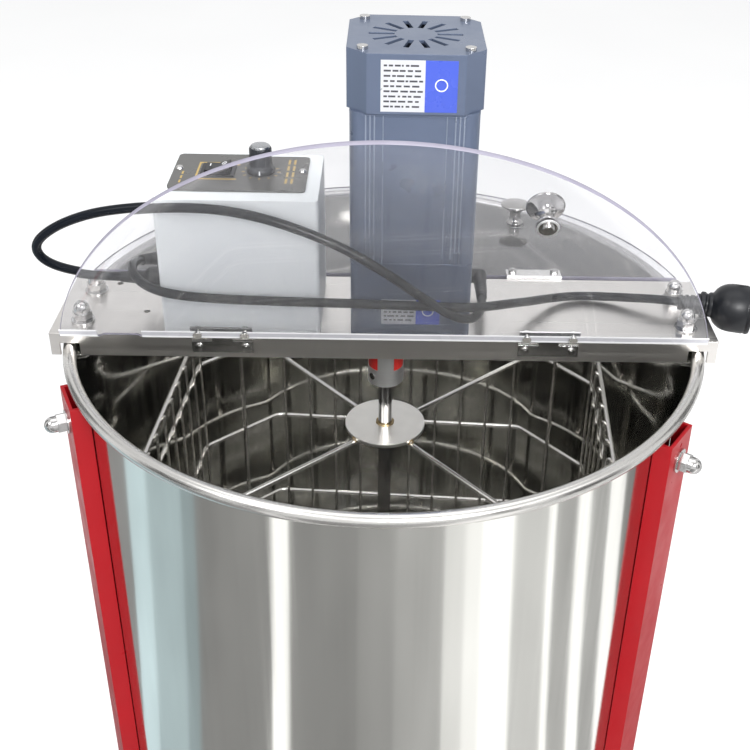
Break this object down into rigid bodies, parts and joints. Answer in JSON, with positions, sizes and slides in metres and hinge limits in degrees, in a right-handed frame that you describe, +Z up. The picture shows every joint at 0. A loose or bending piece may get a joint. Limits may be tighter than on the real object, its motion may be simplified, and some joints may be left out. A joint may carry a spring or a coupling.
{
  "type": "electric honey extractor",
  "caption": "Stainless drum on legs with a spinning wire basket for honey frames, a gear motor and speed box on a bridge, and clear half-disc lids.",
  "frame": {"origin": "on the drum's axis, on the floor under the feet", "axes": "+Z up, -Y towards the honey gate at the front, +X to the right seen from the front"},
  "size_m": [0.5825, 0.5982, 1.0944],
  "materials": {
    "drum_steel": "polished stainless",
    "leg_red": "gloss red enamel",
    "fastener_steel": "polished",
    "tray_steel": "brushed stainless",
    "box_paint": "pale grey powder coat",
    "bearing_steel": "polished",
    "brass_bush": "sintered",
    "motor_paint": "slate blue paint",
    "stator_iron": "laminated core and windings",
    "panel_grey": "dark grey plate",
    "switch_black": "black",
    "pot_body": "moulded",
    "board_green": "circuit board",
    "cord_black": "matt rubber",
    "plug_black": "matt moulded rubber",
    "gate_plastic": "food-grade plastic",
    "gasket_rubber": "silicone",
    "gate_steel": "polished",
    "lid_acrylic": "clear acrylic",
    "lid_knobs": "polished",
    "basket_steel": "polished stainless wire",
    "hub_aluminium": "machined",
    "spider_red": "soft polyurethane",
    "shaft_steel": "ground steel",
    "knob_black": "ribbed, silver cap",
    "rocker_black": "black"
  },
  "bodies": {
    "stand": {"drum_shell": "drum_steel", "drum_floor": "drum_steel", "leg_left": "leg_red", "leg_right": "leg_red", "leg_rear": "leg_red", "leg_bolts": "fastener_steel", "cap_nuts": "fastener_steel", "washers": "fastener_steel", "bearing_cup": "drum_steel", "bearing_ball": "bearing_steel", "bridge_tray": "tray_steel", "hook_bolts": "fastener_steel", "gearbox_case": "motor_paint", "gearbox_screws": "fastener_steel", "output_bushing": "brass_bush", "motor_housing": "motor_paint", "stator": "stator_iron", "fan_cover": "motor_paint", "fan_cover_screws": "fastener_steel", "control_box": "box_paint", "control_plate": "panel_grey", "plate_screws": "fastener_steel", "switch_body": "switch_black", "speed_pot": "pot_body", "circuit_board": "board_green", "cable_glands": "cord_black", "motor_boot": "cord_black", "hinge_leaves": "tray_steel", "hinge_pins": "fastener_steel", "leaf_screws": "fastener_steel", "gate_spout": "gate_plastic", "gate_gasket": "gasket_rubber", "gate_studs": "gate_steel", "motor_lead": "cord_black", "power_cord": "cord_black", "power_plug": "plug_black"},
    "front_lid_body": {"front_lid": "lid_acrylic", "front_lid_leaves": "tray_steel", "front_lid_knob": "lid_knobs", "front_lid_screws": "fastener_steel"},
    "rear_lid_body": {"rear_lid": "lid_acrylic", "rear_lid_leaves": "tray_steel", "rear_lid_knob": "lid_knobs", "rear_lid_screws": "fastener_steel"},
    "basket_body": {"basket_shaft": "basket_steel", "hub_discs": "basket_steel", "basket_spokes": "basket_steel", "basket_rings": "basket_steel", "basket_wires": "basket_steel", "lower_jaw_hub": "hub_aluminium", "jaw_spider": "spider_red", "upper_jaw_hub": "hub_aluminium", "output_gear": "shaft_steel"},
    "rotor_body": {"motor_rotor": "shaft_steel", "cooling_fan": "pot_body"},
    "knob_body": {"speed_knob": "knob_black"},
    "rocker_body": {"power_rocker": "rocker_black"},
    "gate_body": {"gate_flap": "gate_plastic"},
    "wing_nut_body": {"gate_wing_nut": "gate_steel"}
  },
  "joints": [
    {"name": "basket_spin", "type": "hinge", "parent": "stand", "child": "basket_body", "pos_m": [0, 0, 0.56], "axis": [0, 0, 1], "continuous": true},
    {"name": "rotor_spin", "type": "hinge", "parent": "stand", "child": "rotor_body", "pos_m": [0.018, 0, 0.96], "axis": [0, 0, 1], "continuous": true},
    {"name": "front_lid_hinge", "type": "hinge", "parent": "stand", "child": "front_lid_body", "pos_m": [0, -0.0526, 0.8745], "axis": [1, 0, 0], "range_deg": [0, 71.5]},
    {"name": "rear_lid_hinge", "type": "hinge", "parent": "stand", "child": "rear_lid_body", "pos_m": [0, 0.0526, 0.8745], "axis": [1, 0, 0], "range_deg": [0, 90]},
    {"name": "speed_knob_turn", "type": "hinge", "parent": "stand", "child": "knob_body", "pos_m": [-0.095, 0.005, 0.99], "axis": [0, 0, 1], "range_deg": [0, 300]},
    {"name": "rocker_tilt", "type": "hinge", "parent": "stand", "child": "rocker_body", "pos_m": [-0.1265, 0.004, 0.9871], "axis": [0, 1, 0], "range_deg": [0, 16]},
    {"name": "gate_swing", "type": "hinge", "parent": "stand", "child": "gate_body", "pos_m": [-0.04, -0.286, 0.288], "axis": [0, -1, 0], "range_deg": [0, 110]},
    {"name": "gate_nut_turn", "type": "hinge", "parent": "stand", "child": "wing_nut_body", "pos_m": [0.04, -0.292, 0.288], "axis": [0, 1, 0], "range_deg": [0, 180]}
  ],
  "couplings": [
    {"joint": "rotor_spin", "follows": "basket_spin", "ratio": -5}
  ]
}
